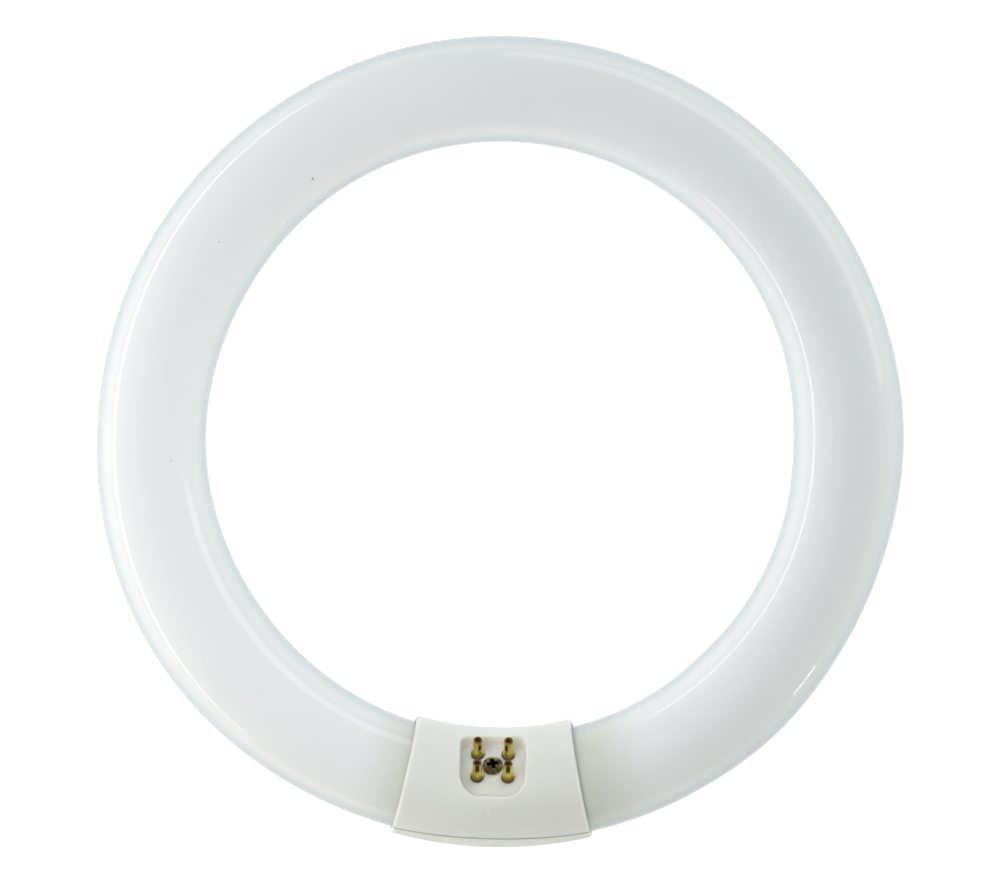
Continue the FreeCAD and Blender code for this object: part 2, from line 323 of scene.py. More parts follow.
soft_window(
    "window_left", at=(-0.617, 0.01, 0.135), aim=(0, -0.055, 0.03),
    size=(1.9, 0.065), power=1.3, colour=(1.0, 0.98, 0.86),
)
soft_window(
    "window_back", at=(0.45, 0.55, 0.22), aim=(0, 0, 0.03),
    size=(1.2, 0.24), power=1.4, colour=(0.86, 0.82, 0.97),
)
soft_window(
    "window_front", at=(-0.11, -0.34, 0.57), aim=(0.027, 0.08, 0.03),
    size=(0.16, 0.03), power=0.02, colour=(1.0, 1.0, 1.0),
)
soft_window(
    "glint_right", at=(0.455, -0.325, 0.038), aim=(0.1, -0.08, 0.02),
    size=(0.05, 0.035), power=0.035, colour=(0.95, 0.98, 1.0),
)
soft_window(
    "card_left", at=(-0.15, -0.02, 0.36), aim=(-0.08, 0, 0),
    size=(0.3, 0.3), power=0.70, colour=(0.89, 0.83, 1.0), mirrored=False,
)
soft_window(
    "card_front", at=(-0.25, -0.20, 0.40), aim=(0, 0, 0),
    size=(0.3, 0.3), power=0.38, colour=(1.0, 0.88, 0.60), mirrored=False,
)
soft_window(
    "card_right", at=(0.60, 0.0, 0.15), aim=(0, 0, 0.03),
    size=(1.0, 0.3), power=0.6, colour=(0.74, 0.76, 0.98), mirrored=False,
)

# %% Sky
SKY_EVEN = (0.272, 0.325, 0.296)
# What each side adds near the horizon: 0 for X or 1 for Y, towards which end of it, and the colour.
SKY_SIDES = [
    (0, -1.0, (0.70, 0.64, 0.74)),
    (0, 1.0, (0.96, 0.84, 0.73)),
    (1, -1.0, (-0.25, -0.28, -0.26)),
]

sky = bpy.data.worlds.new("sky")
sky.use_nodes = True
tree = sky.node_tree
parts = split(tree, tree.nodes.new("ShaderNodeTexCoord").outputs["Generated"])
low = calc(tree, "SUBTRACT", 1.0, calc(tree, "MAXIMUM", parts[2], 0.0))
glow = SKY_EVEN
for part, side, colour in SKY_SIDES:
    towards = calc(tree, "MAXIMUM", calc(tree, "MULTIPLY", parts[part], side), 0.0)
    lit = scaled(tree, colour, calc(tree, "MULTIPLY", low, towards))
    glow = vector_calc(tree, "ADD", glow, lit)["Vector"]
tree.links.new(glow, tree.nodes["Background"].inputs["Color"])
bpy.context.scene.world = sky
bpy.context.scene.view_settings.view_transform = "Standard"
bpy.context.scene.view_settings.look = "None"

# %% [markdown]
# ## Glass finish
#
# What looks like white glass is clear glass with a matt white powder on its inside. So the finish is a
# matt white base under a clear, smooth coat. Seen edge-on the light runs through more glass, which turns
# the outline a cool grey-blue; that darker outline is also painted shade. Beside the cap, where the
# electrodes glow, the powder is painted greyer, more so on the right: partly powder gone grey, partly
# painted shade where the cap shadows the glass. A few dark specks are flaws in the powder: each is a small
# round spot at its own place on the tube, given as an angle round the ring, a place across the tube, a size
# and a strength.

# %% Glass material
SPECKS = [
    (125.5, 0.805, 0.58, 0.85),
    (130.5, 0.864, 0.42, 0.6),
    (127.2, -0.607, 0.52, 0.85),
    (135.9, -0.872, 0.36, 0.5),
    (146.4, -0.207, 0.34, 0.45),
    (99.0, -0.394, 0.52, 0.9),
    (53.8, 0.681, 0.44, 0.7),
    (49.1, -0.142, 0.34, 0.55),
    (46.7, 0.133, 0.36, 0.6),
    (-174.8, -0.437, 0.34, 0.4),
    (-26.0, 0.666, 0.44, 0.7),
]
COATING = (0.765, 0.795, 0.785, 1), (0.80, 0.825, 0.82, 1)
COATING_GRAIN = (0.72, 0.745, 0.735, 1)
COATING_GREYED_AND_CAP_SHADE = (0.62, 0.65, 0.57, 1)
GLASS_EDGE_AND_SHADE = (0.35, 0.455, 0.49, 1)
SPECK_BROWN = (0.10, 0.075, 0.06, 1)


def spot(tree, place, centre, radius, edge):
    """1 inside a ball round a point, falling to 0 over this share of its radius."""
    gap = vector_calc(tree, "DISTANCE", place, centre)["Value"]
    return soft_ramp(tree, gap, radius * (1 - edge), radius, 1.0, 0.0)


def on_tube(degrees, across):
    """A point on the upper side of the glass: across runs from -1, the inner side, to 1, the outer side."""
    angle = math.radians(degrees)
    out = RING_R + across * GLASS_R
    height = MID_Z + GLASS_R * math.sqrt(1 - across * across)
    return (out * math.cos(angle), out * math.sin(angle), height)


coated_glass, tree, shader, place = new_material("coated_glass")
white = mix(tree, noise(tree, place, 28.0, 4.0, 0.6), *COATING)
grain = calc(tree, "MULTIPLY", noise(tree, place, 1400.0, 2.0), 0.25)
white = mix(tree, grain, white, COATING_GRAIN)
# Painted shade: the coating is made greyer beside the cap, more on the right, partly powder gone grey and
# partly the cap's shadow on the glass.
grey_and_cap_shade = spot(tree, place, (3 * MM, -CAP_CENTRE, MID_Z), 43 * MM, 0.42)
white = mix(tree, grey_and_cap_shade, white, COATING_GREYED_AND_CAP_SHADE)
edge_on = add(tree, "ShaderNodeLayerWeight", {"Blend": 0.5}).outputs["Facing"]
# Edge-on the coating turns grey-blue: partly light running through more glass, partly painted shade along the
# outline.
white = mix(tree, soft_ramp(tree, edge_on, 0.35, 0.88, 0.0, 0.8), white, GLASS_EDGE_AND_SHADE)
for degrees, across, size, strength in SPECKS:
    mark = spot(tree, place, on_tube(degrees, across), size * MM, 0.7)
    white = mix(tree, calc(tree, "MULTIPLY", mark, strength), white, SPECK_BROWN)
dress(tree, shader, {
    "Base Color": white,
    "Roughness": 0.75,
    "Specular IOR Level": 0.15,
    "Subsurface Weight": 0.35,
    "Subsurface Radius": (1.0, 1.0, 1.0),
    "Subsurface Scale": 0.002,
    "Coat Weight": 1.0,
    "Coat Roughness": 0.06,
    "Coat IOR": 1.5,
    "Coat Normal": relief(tree, noise(tree, place, 34.0, 1.0), 0.12, 0.0006),
})

# %% [markdown]
# ## Glass tube
#
# The tube was bent hot, so its section isn't quite even: it is fatter by about a millimetre where the
# glass was pushed together. A tree lays a curve round the ring, moves its points out or in by a few slow
# waves, and sweeps a circle along it whose size follows four soft swellings. The last rows of points at
# each end shrink the circle along a quarter round, which is how the sealed ends turn in.

# %% Tree for the glass ring
def wave(tree, angle, height, count, phase):
    """height times the cosine of count angles and a phase in degrees."""
    turns = calc(tree, "MULTIPLY_ADD", angle, float(count), math.radians(phase))
    return calc(tree, "MULTIPLY", calc(tree, "COSINE", turns), height)


def swelling(tree, angle, height, middle, width):
    """A soft bump of this height at an angle, with its width in degrees."""
    away = calc(tree, "COSINE", calc(tree, "SUBTRACT", angle, math.radians(middle)))
    power = calc(tree, "MULTIPLY", calc(tree, "SUBTRACT", away, 1.0), 1 / math.radians(width) ** 2)
    return calc(tree, "MULTIPLY", calc(tree, "EXPONENT", power), height)


# Each wave: its height in millimetres, how often it comes round the ring, and its phase in degrees.
WAVES = [(0.22, 2, -129), (0.15, 3, 154), (0.15, 4, -102)]
# Each swelling: its height in millimetres, and its middle and width in degrees.
SWELLINGS = [(1.19, -146.6, 20), (0.52, 156.4, 14), (0.59, 1.4, 9), (0.46, -45.6, 7)]

ring_sizes = {
    "Mean radius": 91.96 * MM,
    "Glass radius": 13.96 * MM,
    "Height": MID_Z,
    "Start angle": ARC_END - math.pi / 2,
    "End angle": 1.5 * math.pi - ARC_END,
    "End rounding": END_ROUND,
    "End rows": 8,
    "Rows": 340,
    "Steps round": 96,
}
tree, given = new_tree("glass ring", ring_sizes)
line = add(tree, "GeometryNodeCurvePrimitiveLine", {"End": (1, 0, 0)})
rows = add(tree, "GeometryNodeResampleCurve", {"Curve": line.outputs[0], "Count": given["Rows"]})
row = tree.nodes.new("GeometryNodeInputIndex").outputs[0]
last = calc(tree, "SUBTRACT", given["Rows"], 1.0)
from_end = calc(tree, "MINIMUM", row, calc(tree, "SUBTRACT", last, row))
turn_in = calc(tree, "SUBTRACT", 1.0, calc(tree, "DIVIDE", from_end, given["End rows"]))
turn_in = calc(tree, "MULTIPLY", calc(tree, "MAXIMUM", turn_in, 0.0), math.pi / 2)
beyond = calc(tree, "MULTIPLY", calc(tree, "SINE", turn_in), given["End rounding"])
inwards = calc(tree, "SUBTRACT", 1.0, calc(tree, "COSINE", turn_in))
inwards = calc(tree, "MULTIPLY", inwards, given["End rounding"])
half_way = calc(tree, "MULTIPLY", last, 0.5)
side = calc(tree, "SIGN", calc(tree, "SUBTRACT", row, half_way))
arc_rows = calc(tree, "SUBTRACT", last, calc(tree, "MULTIPLY", given["End rows"], 2.0))
share = calc(tree, "DIVIDE", calc(tree, "SUBTRACT", row, given["End rows"]), arc_rows)
share = calc(tree, "MINIMUM", calc(tree, "MAXIMUM", share, 0.0), 1.0)
span = calc(tree, "SUBTRACT", given["End angle"], given["Start angle"])
angle = calc(tree, "MULTIPLY_ADD", share, span, given["Start angle"])

mean_r = given["Mean radius"]
for height, count, phase in WAVES:
    mean_r = calc(tree, "ADD", mean_r, wave(tree, angle, height * MM, count, phase))
glass_r = given["Glass radius"]
for height, middle, width in SWELLINGS:
    glass_r = calc(tree, "ADD", glass_r, swelling(tree, angle, height * MM, middle, width))

cosine, sine = calc(tree, "COSINE", angle), calc(tree, "SINE", angle)
forward = calc(tree, "MULTIPLY", beyond, side)
x = calc(tree, "SUBTRACT", calc(tree, "MULTIPLY", mean_r, cosine), calc(tree, "MULTIPLY", forward, sine))
y = calc(tree, "ADD", calc(tree, "MULTIPLY", mean_r, sine), calc(tree, "MULTIPLY", forward, cosine))
point = add(tree, "ShaderNodeCombineXYZ", {"X": x, "Y": y, "Z": given["Height"]})
path = add(tree, "GeometryNodeSetPosition", {"Geometry": rows.outputs[0], "Position": point.outputs[0]})
circle_values = {"Resolution": given["Steps round"], "Radius": 1.0}
circle = add(tree, "GeometryNodeCurvePrimitiveCircle", circle_values, mode="RADIUS")
sweep_values = {
    "Curve": path.outputs[0],
    "Profile Curve": circle.outputs[0],
    "Scale": calc(tree, "SUBTRACT", glass_r, inwards),
    "Fill Caps": True,
}
sweep = add(tree, "GeometryNodeCurveToMesh", sweep_values)
finish_tree(tree, sweep.outputs[0], given["Material"])
glass = run_tree("glass_tube_visual", tree, ring_sizes, coated_glass)

# %% [markdown]
# Each sealed end holds a glass stem: a funnel that runs back into the tube, with the stub of the pipe that
# the air was pumped out through. These forms carry the ring's own section inwards, so they are built from
# the flat end face by adding ring after ring of points, each at its own radius and depth.

# %% Glass stems
# Each ring of points: its radius, and how far it lies beyond the end face, in millimetres.
STEM = [(8.9, 0.0), (7.6, -0.12), (7.0, -0.5), (6.5, -2.2), (5.8, -5.3), (4.9, -9.3), (4.5, -11.0)]
STEM += [(2.3, -11.0), (2.0, -10.7), (2.0, -7.0), (2.0, -3.5), (1.85, -2.74), (1.41, -2.09), (0.77, -1.65)]
STEM_TIP = -1.5


def add_stem(shape, face):
    """Replaces the flat end of the tube by the stem, ring after ring."""
    centre = face.calc_center_median()
    outwards = face.normal.copy()
    ring = list(face.verts)
    spokes = [(vert.co - centre).normalized() for vert in ring]
    shape.faces.remove(face)
    for radius, depth in STEM:
        middle = centre + outwards * depth * MM
        new_ring = [shape.verts.new(middle + spoke * radius * MM) for spoke in spokes]
        for i in range(len(ring)):
            j = (i + 1) % len(ring)
            shape.faces.new((ring[i], ring[j], new_ring[j], new_ring[i])).smooth = True
        ring = new_ring
    tip = shape.verts.new(centre + outwards * STEM_TIP * MM)
    for i in range(len(ring)):
        shape.faces.new((ring[i], ring[(i + 1) % len(ring)], tip)).smooth = True


shape = bmesh.new()
shape.from_mesh(glass.data)
shape.faces.ensure_lookup_table()
for face in [face for face in shape.faces if len(face.verts) > 4]:
    add_stem(shape, face)
bmesh.ops.recalc_face_normals(shape, faces=shape.faces)
print("glass: open edges", sum(1 for edge in shape.edges if not edge.is_manifold))
shape.to_mesh(glass.data)
shape.free()
stand_in_for(glass, "coated_glass", "glass_tube")

# %% [markdown]
# ## Plastic of the cap
#
# The cap is moulded in warm ivory plastic, half glossy, with a fine skin left by the mould. A little light
# goes into it and comes out again beside, which softens its shading. The recess and the inner walls are
# painted lighter, more so towards the middle of the ring: painted light against their shade. The joint is
# painted darker, partly dirt and partly painted shade of the gap, and the low rim where it turns under is
# painted darker as painted shade. There is a small white mark below the recess, a white fleck beside the
# joint and a faint scratch. Each of these strokes is found by how far a point lies from a short line, so it
# needs no picture.

# %% Plastic material
def along_screw(tree, place):
    """The point in the cap's own frame: across, along the joint, and up the screw."""
    back = to_cap.inverted()
    values = {"Vector": place, "Location": back.translation, "Rotation": back.to_euler()}
    return split(tree, add(tree, "ShaderNodeMapping", values, vector_type="POINT").outputs[0])


def stroke(tree, place, start, end, width):
    """1 on a short line seen from above, falling to 0 at half its width."""
    flat = vector_calc(tree, "MULTIPLY", place, (1, 1, 0))["Vector"]
    start, end = (Vector((*point, 0)) * MM for point in (start, end))
    run = end - start
    from_start = vector_calc(tree, "SUBTRACT", flat, start)["Vector"]
    dot = vector_calc(tree, "DOT_PRODUCT", from_start, run / run.length_squared)["Value"]
    share = calc(tree, "MINIMUM", calc(tree, "MAXIMUM", dot, 0.0), 1.0)
    gap = vector_calc(tree, "DISTANCE", from_start, scaled(tree, run, share))["Value"]
    return soft_ramp(tree, gap, 0.0, width * MM / 2, 1.0, 0.0)


IVORY = (0.72, 0.735, 0.67, 1), (0.775, 0.785, 0.73, 1)
RECESS_PAINTED_LIGHT = (0.82, 0.83, 0.745, 1), (0.97, 0.97, 0.92, 1)
WHITE_MARK = (0.93, 0.94, 0.92, 1)
SCRATCH = (0.45, 0.46, 0.42, 1)
JOINT_DIRT_AND_SHADE = (0.30, 0.31, 0.23, 1)
RIM_PAINTED_SHADE = (0.50, 0.54, 0.47, 1)
# Each stroke: its two ends and its width in millimetres, and how strong it is. A minus makes it a scratch.
STROKES = [
    ((-0.16, -95.2), (-1.11, -96.6), 0.45, 0.55),
    ((-1.11, -96.6), (-0.40, -97.2), 0.40, 0.45),
    ((-0.40, -97.2), (-0.71, -98.6), 0.40, 0.50),
    ((-0.45, -104.7), (0.05, -104.7), 0.55, 0.7),
    ((3.65, -102.9), (6.25, -102.8), 0.22, -0.25),
]

cap_plastic, tree, shader, place = new_material("cap_plastic")
ivory = mix(tree, noise(tree, place, 90.0, 3.0, 0.55), *IVORY)
height = calc(tree, "MULTIPLY", noise(tree, place, 1900.0, 2.0), 0.25)
sides = split(tree, place)
upper = calc(tree, "GREATER_THAN", sides[2], MID_Z)
for start, end, width, strength in STROKES:
    mark = calc(tree, "MULTIPLY", stroke(tree, place, start, end, width), upper)
    # Each stroke is a white mark, raised a little, or a sunk grey scratch.
    tone = WHITE_MARK if strength > 0 else SCRATCH
    ivory = mix(tree, calc(tree, "MULTIPLY", mark, abs(strength)), ivory, tone)
    height = calc(tree, "MULTIPLY_ADD", mark, math.copysign(1.2, strength), height)

# The joint lies where the height along the screw is nothing.
cap_parts = along_screw(tree, place)
off_joint = calc(tree, "ABSOLUTE", cap_parts[2])
# The joint is made darker: partly dirt, partly painted shade of the gap between the shells.
ivory = mix(tree, soft_ramp(tree, off_joint, 0.08 * MM, 0.5 * MM, 0.85, 0.0), ivory, JOINT_DIRT_AND_SHADE)

# The recess lies nearer the middle of the tube than the outside of the cap does.
from_ring = vector_calc(tree, "LENGTH", vector_calc(tree, "MULTIPLY", place, (1, 1, 0))["Vector"])["Value"]
out = calc(tree, "SUBTRACT", from_ring, CAP_CENTRE)
up = calc(tree, "SUBTRACT", sides[2], MID_Z)
section = add(tree, "ShaderNodeCombineXYZ", {"X": out, "Y": up}).outputs[0]
from_tube = vector_calc(tree, "LENGTH", section)["Value"]
# Painted light: the recess and the cap's inner walls are made lighter than the outside, against their shade.
painted_recess_light = soft_ramp(tree, from_tube, CAP_R - 1.0 * MM, CAP_R - 0.2 * MM, 1.0, 0.0)
# Painted light: lighter towards the middle of the ring, darker towards the outside.
recess_light_tone = mix(tree, soft_ramp(tree, cap_parts[1], -5.0 * MM, 4.0 * MM), *RECESS_PAINTED_LIGHT)
ivory = mix(tree, painted_recess_light, ivory, recess_light_tone)

# The rim is the outer side where it turns under, apart from the end faces. It is painted darker: painted
# shade.
facing = split(tree, tree.nodes["Texture Coordinate"].outputs["Normal"])
shaded_rim = soft_ramp(tree, facing[2], 0.05, 0.5, 1.0, 0.0)
shaded_rim = calc(tree, "MULTIPLY", shaded_rim, calc(tree, "SUBTRACT", 1.0, painted_recess_light))
off_end = ramp(tree, calc(tree, "ABSOLUTE", facing[0]), 0.4, 0.7, 1.0, 0.0)
outer_side = ramp(tree, facing[1], -0.3, 0.1, 1.0, 0.0)
shaded_rim = calc(tree, "MULTIPLY", shaded_rim, calc(tree, "MULTIPLY", off_end, outer_side))
dress(tree, shader, {
    "Base Color": mix(tree, shaded_rim, ivory, RIM_PAINTED_SHADE),
    "Roughness": 0.34,
    "IOR": 1.49,
    "Normal": relief(tree, height, 0.35, 0.00008),
    "Subsurface Weight": 0.7,
    "Subsurface Radius": (1.0, 0.9, 0.7),
    "Subsurface Scale": 0.0022,
})

# %% [markdown]
# ## Cap shells
#
# The shells are cut from the ring's own curve, with a recess that the CAD model already gives its exact
# walls and roundings, so each is a copy of its solid. A moulded edge is never quite sharp, and the joint
# shows as a fine dark line because both shells turn in there. That small rounding is added to the edges
# that lie in the plane of the joint.

# %% Cap shells with a soft joint
JOINT_ROUND = 0.22 * MM
EDGE_ANGLE = math.radians(40)
CREASE_ANGLE = math.radians(35)


def merged_copy(solid):
    """A copy of a CAD mesh whose loose triangles are joined."""
    shape = bmesh.new()
    shape.from_mesh(nodes[solid].data)
    bmesh.ops.remove_doubles(shape, verts=shape.verts, dist=2e-7)
    return shape


def on_joint(vert):
    """Whether a point lies in the plane where the shells meet."""
    return abs((to_cap.inverted() @ vert.co).z) < 2e-6


def outer_edge(edge):
    """Whether an edge of the joint is on the outside of the cap."""
    middle = (edge.verts[0].co + edge.verts[1].co) / 2
    from_tube = math.hypot(math.hypot(middle.x, middle.y) - CAP_CENTRE, middle.z - MID_Z)
    sharp = edge.is_manifold and edge.calc_face_angle() > EDGE_ANGLE
    return sharp and from_tube > CAP_R - 0.05 * MM


def moulded_shell(name, solid):
    """The solid with its outer edges at the joint rounded."""
    shape = merged_copy(solid)
    edges = [e for e in shape.edges if all(on_joint(v) for v in e.verts) and outer_edge(e)]
    bmesh.ops.bevel(shape, geom=edges, offset=JOINT_ROUND, segments=3, affect="EDGES", clamp_overlap=True)
    for face in shape.faces:
        face.smooth = True
    for edge in shape.edges:
        edge.smooth = not (edge.is_manifold and edge.calc_face_angle() > CREASE_ANGLE)
    print(name, "rounded edges:", len(edges))
    mesh = bpy.data.meshes.new(name)
    shape.to_mesh(mesh)
    shape.free()
    mesh.materials.append(cap_plastic)
    stand_in_for(new_piece(name, mesh), "cap_plastic", solid)


moulded_shell("front_cap_shell_visual", "front_cap_shell")
moulded_shell("back_cap_shell_visual", "back_cap_shell")

# %% [markdown]
# ## Brass pins
#
# A pin is turned from brass: a hollow stem with a collar that sits on the floor of the recess and a tail
# spread out under it. Then a punch presses one side in to grip the wire. Turning is a rule, so a tree
# sweeps the outline round a small circle. The punch mark is a rule too: each point near a short upright
# line is pushed towards the middle of the pin. How far each point goes in is kept for the finish, which
# paints the dent near black with it: painted shade. The tree also keeps the front of each collar, which the
# finish paints dark brown as painted shade, and the bore, which is tarnished.

# %% Brass material
BRASS = (0.52, 0.38, 0.05, 1), (0.92, 0.78, 0.16, 1)
TARNISH_AND_SHADE = (0.11, 0.052, 0.028, 1)
DENT_PAINTED_SHADE = (0.012, 0.007, 0.009, 1)


def attribute(tree, name):
    """A number that the mesh keeps for each of its points."""
    node = tree.nodes.new("ShaderNodeAttribute")
    node.attribute_name = name
    return node.outputs["Fac"]


pin_brass, tree, shader, place = new_material("pin_brass")
patina = noise(tree, place, 650.0, 4.0, 0.6)
yellow = mix(tree, patina, *BRASS)
up_the_pin = along_screw(tree, place)[2]
tip = ramp(tree, up_the_pin, FLOOR_V + 6.9 * MM, FLOOR_V + 7.25 * MM)
# The tip and the bore are tarnished brown; the front of each collar is made the same dark brown, painted
# shade.
dull_and_shaded = calc(tree, "MAXIMUM", tip, attribute(tree, "tarnish_and_shade"))
yellow = mix(tree, calc(tree, "MULTIPLY", dull_and_shaded, 0.95), yellow, TARNISH_AND_SHADE)
# Painted shade: the dent is made near black by how far it goes in.
painted_dent_shade = calc(tree, "MULTIPLY", attribute(tree, "pressed"), 0.97)
yellow = mix(tree, painted_dent_shade, yellow, DENT_PAINTED_SHADE)
rough = calc(tree, "MAXIMUM", ramp(tree, patina, 0.0, 1.0, 0.22, 0.45), calc(tree, "MULTIPLY", dull_and_shaded, 0.6))
rough = calc(tree, "MAXIMUM", rough, calc(tree, "MULTIPLY", painted_dent_shade, 0.8))
dull_nonmetal = calc(tree, "SUBTRACT", 0.6, calc(tree, "MULTIPLY", painted_dent_shade, 0.6))
metal = calc(tree, "SUBTRACT", 1.0, calc(tree, "MULTIPLY", dull_and_shaded, dull_nonmetal))
dress(tree, shader, {
    "Base Color": yellow,
    "Roughness": rough,
    "Metallic": metal,
    "Normal": relief(tree, patina, 0.25, 0.00003),
})

# %% Tree for a turned piece
def swept_outline(tree, given, outline):
    """Turns an outline of (radius, height) points about the Z axis."""
    curve = add(tree, "GeometryNodeMeshToCurve", {0: outline})
    even_values = {"Curve": curve.outputs[0], "Length": given["Row spacing"]}
    even = add(tree, "GeometryNodeResampleCurve", even_values, mode="LENGTH")
    back = add(tree, "ShaderNodeCombineXYZ", {"X": calc(tree, "MULTIPLY", given["Sweep radius"], -1.0)})
    moved = add(tree, "GeometryNodeTransform", {"Geometry": even.outputs[0], "Translation": back.outputs[0]})
    round_values = {"Resolution": given["Steps round"], "Radius": given["Sweep radius"]}
    circle = add(tree, "GeometryNodeCurvePrimitiveCircle", round_values, mode="RADIUS")
    turned_piece = add(tree, "GeometryNodeCurveToMesh", {"Curve": circle.outputs[0], 1: moved.outputs[0]})
    upright = {"Geometry": turned_piece.outputs[0], "Rotation": (math.pi, 0, 0)}
    return add(tree, "GeometryNodeTransform", upright).outputs[0]


def outline_mesh(points, closed):
    """Points of (radius, height) in millimetres as a line of edges."""
    mesh = bpy.data.meshes.new("outline")
    edges = [(i, i + 1) for i in range(len(points) - 1)]
    if closed:
        edges.append((len(points) - 1, 0))
    mesh.from_pydata([(r * MM, z * MM, 0) for r, z in points], edges, [])
    return mesh


def distance(tree, first, second):
    """How far a point is from the corner of two axes, by its distance along each."""
    squares = [calc(tree, "POWER", value, 2.0) for value in (first, second)]
    return calc(tree, "SQRT", calc(tree, "ADD", *squares))


pin_sizes = {
    "Sweep radius": 1.0 * MM,
    "Row spacing": 0.11 * MM,
    "Steps round": 88,
    "Mark height": 4.8 * MM,
    "Mark length": 2.9 * MM,
    "Mark width": 0.78 * MM,
    "Mark turn": 0.0,
    "Mark depth": 0.42 * MM,
    "Mark shade": 1.0,
    "Collar radius": 1.75 * MM,
}
tree, given = new_tree("pressed pin", pin_sizes)
turned_pin = swept_outline(tree, given, given["Geometry"])
x, y, z = split(tree, tree.nodes.new("GeometryNodeInputPosition").outputs[0])
sine, cosine = calc(tree, "SINE", given["Mark turn"]), calc(tree, "COSINE", given["Mark turn"])
across = calc(tree, "ADD", calc(tree, "MULTIPLY", x, cosine), calc(tree, "MULTIPLY", y, sine))
behind = calc(tree, "SUBTRACT", calc(tree, "MULTIPLY", y, cosine), calc(tree, "MULTIPLY", x, sine))
half = calc(tree, "MULTIPLY", calc(tree, "SUBTRACT", given["Mark length"], given["Mark width"]), 0.5)
above = calc(tree, "ABSOLUTE", calc(tree, "SUBTRACT", z, given["Mark height"]))
above = calc(tree, "MAXIMUM", calc(tree, "SUBTRACT", above, half), 0.0)
reach = calc(tree, "DIVIDE", distance(tree, across, above), calc(tree, "MULTIPLY", given["Mark width"], 0.5))
press = soft_ramp(tree, reach, 0.6, 1.05, 1.0, 0.0)
press = calc(tree, "MULTIPLY", press, calc(tree, "LESS_THAN", behind, -0.1 * MM))
push = calc(tree, "MULTIPLY", press, given["Mark depth"])
push_x = calc(tree, "MULTIPLY", push, calc(tree, "MULTIPLY", sine, -1.0))
shift = add(tree, "ShaderNodeCombineXYZ", {"X": push_x, "Y": calc(tree, "MULTIPLY", push, cosine)})
radius = distance(tree, x, y)
# The front of each collar is kept to be painted darker, painted shade; the bore is kept as tarnish.
on_collar = calc(tree, "GREATER_THAN", radius, calc(tree, "MULTIPLY", given["Collar radius"], 0.76))
on_front = soft_ramp(tree, y, -0.6 * MM, 0.7 * MM, 1.0, 0.0)
in_bore = calc(tree, "MULTIPLY", calc(tree, "LESS_THAN", radius, 0.72 * MM), 0.35)
shade_and_tarnish = calc(tree, "MAXIMUM", calc(tree, "MULTIPLY", on_collar, on_front), in_bore)
shade = calc(tree, "MULTIPLY", press, given["Mark shade"])
for name, value in (("tarnish_and_shade", shade_and_tarnish), ("pressed", shade)):
    values = {"Geometry": turned_pin, "Name": name, "Value": value}
    turned_pin = add(tree, "GeometryNodeStoreNamedAttribute", values).outputs[0]
dented = add(tree, "GeometryNodeSetPosition", {"Geometry": turned_pin, "Offset": shift.outputs[0]})
finish_tree(tree, dented.outputs[0], given["Material"])

# %% Four pins
PIN_OUTLINE = [(0.65, -2.1), (1.55, -2.1), (1.7, -1.95), (1.7, -1.6), (1.3, -1.6), (1.3, 0.0), (1.66, 0.0)]
PIN_OUTLINE += [(1.75, 0.1), (1.75, 0.85), (1.70, 0.95), (1.58, 1.0), (1.3, 1.0), (1.2, 1.1), (1.2, 6.9)]
PIN_OUTLINE += [(1.165, 7.07), (1.07, 7.22), (0.93, 7.31), (0.8, 7.35), (0.7, 7.31), (0.65, 7.2)]
OUTER_MARK = {"Mark height": 5.7 * MM, "Mark length": 3.2 * MM, "Mark width": 1.3 * MM, "Mark shade": 0.86}
for name, (x, u) in PIN_PLACES.items():
    inner_mark = {"Mark turn": math.radians(math.copysign(32.0, -x))}
    sizes = pin_sizes | (inner_mark if u > 0 else OUTER_MARK)
    pin = run_tree(f"contact_pin_{name}_visual", tree, sizes, pin_brass, outline_mesh(PIN_OUTLINE, True))
    pin.data.transform(to_cap @ Matrix.Translation((x, u, FLOOR_V)))
    stand_in_for(pin, "pin_brass", f"contact_pin_{name}")

# %% [markdown]
# ## Screw
#
# A pan-head screw with a cross recess, plated and gone a dark yellow-green. The side of its head towards the
# middle of the ring is painted lighter, a painted highlight, pink painted glints lie over it, and the cross
# is painted near black inside, a painted shade. The head is turned like a pin. The recess is cut by two
# wedges that narrow towards their bottom, as the driver needs. The thread that cuts its own way into the
# plastic is a ridge swept along a rising line, which runs out to nothing at both ends.

# %% Screw material
PLATING = (0.045, 0.032, 0.015, 1), (0.25, 0.21, 0.075, 1)
OLIVE_PAINTED_HIGHLIGHT = (0.70, 0.68, 0.23, 1)
PINK_PAINTED_GLINT = (0.62, 0.42, 0.34, 1)
CROSS_PAINTED_SHADE = (0.006, 0.004, 0.006, 1)
CROSS_REACH = 1.62

screw_plating, tree, shader, place = new_material("screw_plating")
across, along, up = along_screw(tree, place)
blotch = noise(tree, place, 420.0, 4.0, 0.65)
plated = mix(tree, blotch, *PLATING)
# Painted highlight: the head's side towards the middle of the ring is made a lighter yellow-green.
highlight_side = soft_ramp(tree, along, 0.9 * MM, 2.2 * MM)
plated = mix(tree, calc(tree, "MULTIPLY", highlight_side, 0.8), plated, OLIVE_PAINTED_HIGHLIGHT)
# Painted glints: pink patches scattered over the screw.
plated = mix(tree, ramp(tree, noise(tree, place, 900.0, 1.0), 0.57, 0.72, 0.0, 0.5), plated, PINK_PAINTED_GLINT)
